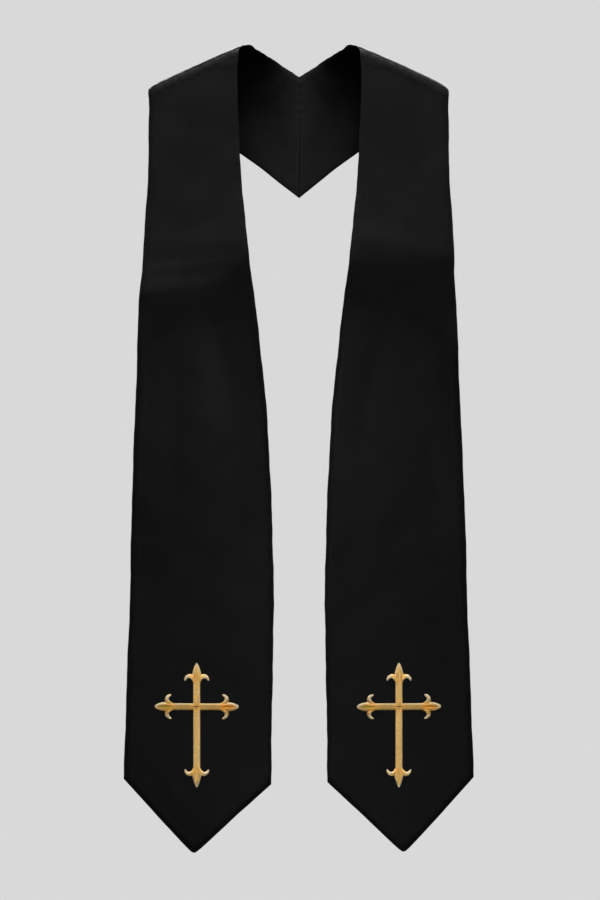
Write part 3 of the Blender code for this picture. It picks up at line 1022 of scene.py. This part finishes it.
def mapped(nodes, links, value, span, result):
    """The value, carried from one span to another with soft ends."""
    names = ("From Min", "From Max", "To Min", "To Max")
    node = new_node(nodes, "ShaderNodeMapRange", dict(zip(names, (*span, *result))))
    node.interpolation_type = "SMOOTHSTEP"
    links.new(value, node.inputs["Value"])
    return node.outputs["Result"]


def combined(nodes, links, operation, first, second):
    node = nodes.new("ShaderNodeMath")
    node.operation = operation
    links.new(first, node.inputs[0])
    links.new(second, node.inputs[1])
    return node.outputs["Value"]


def within(nodes, links, distance, ends, most=1.0):
    """The most near the edge, and nothing past the ends, which are in mm."""
    near, far = ends
    return mapped(nodes, links, distance, (near * MM, far * MM), (most, 0.0))


def satin_floats(nodes, links, place):
    """The weave's long warp floats along the strip, as a height."""
    lengthways = new_node(nodes, "ShaderNodeMapping", {"Rotation": (0.0, 0.0, math.pi / 2)})
    links.new(place, lengthways.inputs["Vector"])
    floats = new_node(nodes, "ShaderNodeTexBrick", {
        "Scale": 1 / MM, "Brick Width": FLOAT_LENGTH, "Row Height": FLOAT_WIDTH,
        "Mortar Size": FLOAT_GAP, "Mortar Smooth": 1.0,
    })
    floats.offset = FLOAT_STAGGER
    links.new(lengthways.outputs["Vector"], floats.inputs["Vector"])
    return mapped(nodes, links, floats.outputs["Fac"], (0.0, 1.0), (1.0, 0.0))


def relief(nodes, links, height, strength, depth):
    """A bump node; its depth is in mm."""
    values = {"Strength": strength, "Distance": depth * MM}
    bumps = new_node(nodes, "ShaderNodeBump", values)
    links.new(height, bumps.inputs["Height"])
    return bumps


def satin_normal(nodes, links, place, distance):
    """The cloth's normal: its weave, and the step of the allowance pressed under the edges."""
    floats = satin_floats(nodes, links, place)
    weave = relief(nodes, links, floats, FLOAT_STRENGTH, FLOAT_RELIEF)
    pressed = within(nodes, links, distance, ALLOWANCE_ENDS)
    allowance = relief(nodes, links, pressed, 1.0, ALLOWANCE_RELIEF)
    links.new(weave.outputs["Normal"], allowance.inputs["Normal"])
    return allowance.outputs["Normal"]


def satin_material(name, albedo, roughness, specular, edge_wear_and_shade_tone):
    """Black satin: long warp floats, uneven yarns, slow changes of tone, and pressed edges.

    The edge tone is how much lighter or darker the cloth is along its edges, in patches: lighter is
    wear, darker is painted shade.
    """
    material, nodes, links = new_material(name)
    shader = nodes["Principled BSDF"]
    shader.inputs["Specular IOR Level"].default_value = specular
    uv = nodes.new("ShaderNodeUVMap")
    uv.uv_map = "flat_cloth"
    place = uv.outputs["UV"]
    stretched = new_node(nodes, "ShaderNodeMapping", {"Scale": (1.0, YARN_STRETCH, 1.0)})
    links.new(place, stretched.inputs["Vector"])
    slow = noise(nodes, links, place, SLOW_NOISE)
    yarns = noise(nodes, links, stretched.outputs["Vector"], YARN_NOISE)
    attribute = nodes.new("ShaderNodeAttribute")
    attribute.attribute_name = "edge_distance"
    distance = attribute.outputs["Fac"]
    parted = nodes.new("ShaderNodeSeparateXYZ")
    links.new(place, parted.inputs["Vector"])
    # Painted shade along the centre-back seam, darkening the cloth where its groove is.
    seam_shade = within(nodes, links, parted.outputs["Y"], SEAM_SHADE_ENDS, SEAM_PAINTED_SHADE)
    patches = noise(nodes, links, place, WEAR_AND_SHADE_NOISE)
    patchy = mapped(nodes, links, patches, WEAR_AND_SHADE_SPAN, (0.0, 1.0))
    near_edge = within(nodes, links, distance, WEAR_AND_SHADE_ENDS)
    wear_and_shade_mask = combined(nodes, links, "MULTIPLY", near_edge, patchy)
    uneven_tone = combined(
        nodes, links, "ADD",
        mapped(nodes, links, slow, NOISE_SPAN, (-SLOW_TONE, SLOW_TONE)),
        mapped(nodes, links, yarns, NOISE_SPAN, (-YARN_TONE, YARN_TONE)),
    )
    # Along the edges a positive tone lightens the cloth with wear, as on the face; a negative one
    # darkens it with painted shade of the rolled edge, as on the lining.
    edges = mapped(nodes, links, wear_and_shade_mask, (0.0, 1.0), (0.5, 0.5 + edge_wear_and_shade_tone))
    edges = combined(nodes, links, "ADD", seam_shade, edges)
    tone = combined(nodes, links, "ADD", uneven_tone, edges)
    ramp = nodes.new("ShaderNodeValToRGB")
    dark, light = ramp.color_ramp.elements
    dark.color = grey(0.0)
    light.color = grey(2 * albedo)
    links.new(tone, ramp.inputs["Fac"])
    links.new(ramp.outputs["Color"], shader.inputs["Base Color"])
    rough = (roughness - SLOW_ROUGHNESS, roughness + SLOW_ROUGHNESS)
    gloss = combined(
        nodes, links, "ADD",
        mapped(nodes, links, slow, NOISE_SPAN, rough),
        mapped(nodes, links, wear_and_shade_mask, (0.0, 1.0), (0.0, WORN_ROUGHNESS)),
    )
    links.new(gloss, shader.inputs["Roughness"])
    links.new(satin_normal(nodes, links, place, distance), shader.inputs["Normal"])
    return material


def thread_material(name):
    """Gold rayon thread: coloured thread by thread, with a soft gloss."""
    material, nodes, links = new_material(name)
    shader = nodes["Principled BSDF"]
    set_inputs(shader, {"Roughness": 0.42, "Specular IOR Level": 0.45, "Sheen Weight": 0.15})
    colour = nodes.new("ShaderNodeVertexColor")
    colour.layer_name = "thread_colour"
    links.new(colour.outputs["Color"], shader.inputs["Base Color"])
    return material


def floor_material(name):
    """A plain pale floor, with a little light of its own so that its far side isn't dark."""
    material, nodes, _ = new_material(name)
    set_inputs(nodes["Principled BSDF"], {
        "Base Color": grey(FLOOR_ALBEDO), "Roughness": 0.9,
        "Emission Color": grey(1.0), "Emission Strength": FLOOR_GLOW,
    })
    return material


def add_softbox(name, place, target, width, height, power, spread):
    light = bpy.data.lights.new(name, "AREA")
    light.shape = "RECTANGLE"
    light.size = width
    light.size_y = height
    light.energy = power
    light.spread = math.radians(spread)
    thing = linked_object(name, light)
    thing.location = place
    thing.visible_camera = False
    direction = Vector(target) - thing.location
    thing.rotation_euler = direction.to_track_quat("-Z", "Y").to_euler()


def build_camera():
    data = bpy.data.cameras.new("camera")
    data.sensor_width = SENSOR_WIDTH
    data.lens = SENSOR_WIDTH * CAMERA_DISTANCE / (IMAGE_HEIGHT * PIXEL_SIZE)
    thing = linked_object("camera", data)
    aside = (IMAGE_WIDTH / 2 - AXIS_PIXEL) * PIXEL_SIZE
    thing.location = (aside, FRONT_OF_CLOTH - CAMERA_DISTANCE, CAMERA_HEIGHT)
    thing.rotation_euler = (math.pi / 2, 0.0, 0.0)
    bpy.context.scene.camera = thing


def build_world():
    """An even backdrop for the camera, and a little light all round for everything else."""
    world = bpy.data.worlds.new("studio")
    bpy.context.scene.world = world
    world.use_nodes = True
    nodes, links = world.node_tree.nodes, world.node_tree.links
    backdrop = nodes["Background"]
    set_inputs(backdrop, {"Color": grey(BACKDROP)})
    ambient = new_node(nodes, "ShaderNodeBackground", {"Color": grey(AMBIENT)})
    rays = nodes.new("ShaderNodeLightPath")
    choose = nodes.new("ShaderNodeMixShader")
    links.new(rays.outputs["Is Camera Ray"], choose.inputs["Fac"])
    links.new(ambient.outputs["Background"], choose.inputs[1])
    links.new(backdrop.outputs["Background"], choose.inputs[2])
    links.new(choose.outputs["Shader"], nodes["World Output"].inputs["Surface"])


def build_studio():
    """A plain pale grey studio: even background, soft lights, and a floor well below."""
    bpy.context.scene.view_settings.view_transform = "Standard"
    build_world()
    for softbox in SOFTBOXES:
        add_softbox(*softbox)
    bpy.ops.mesh.primitive_circle_add(
        vertices=FLOOR_SIDES, radius=FLOOR_RADIUS, fill_type="NGON",
        location=(0.0, 0.0, FLOOR_HEIGHT),
    )
    floor = bpy.context.object
    floor.name = "studio_floor"
    floor.data.materials.append(floor_material("pale_floor"))
    floor.visible_diffuse = False
    floor.visible_glossy = False


def dress(piece, node):
    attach(piece, "root")
    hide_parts(node)


def build_stole():
    satin = satin_material(
        "black_satin", albedo=0.0055, roughness=0.30, specular=0.012, edge_wear_and_shade_tone=0.09
    )
    # The lining is the same satin as the face, made several times lighter: painted light on the
    # inside of the neck. Its darker edges are painted shade.
    lining = satin_material(
        "black_satin_lining", albedo=0.0320, roughness=0.40, specular=0.05, edge_wear_and_shade_tone=-0.16
    )
    gold = thread_material("gold_thread")
    for end, side in (("left", 1), ("right", -1)):
        face = build_face("face_cloth_" + end, side, satin)
        dress(face, "face_" + end)
        back = build_lining("lining_cloth_" + end, side, lining)
        dress(back, "lining_" + end)
        cross = build_cross("cross_embroidery_" + end, side, gold)
        dress(cross, "cross_" + end)


build_camera()
build_studio()
build_stole()
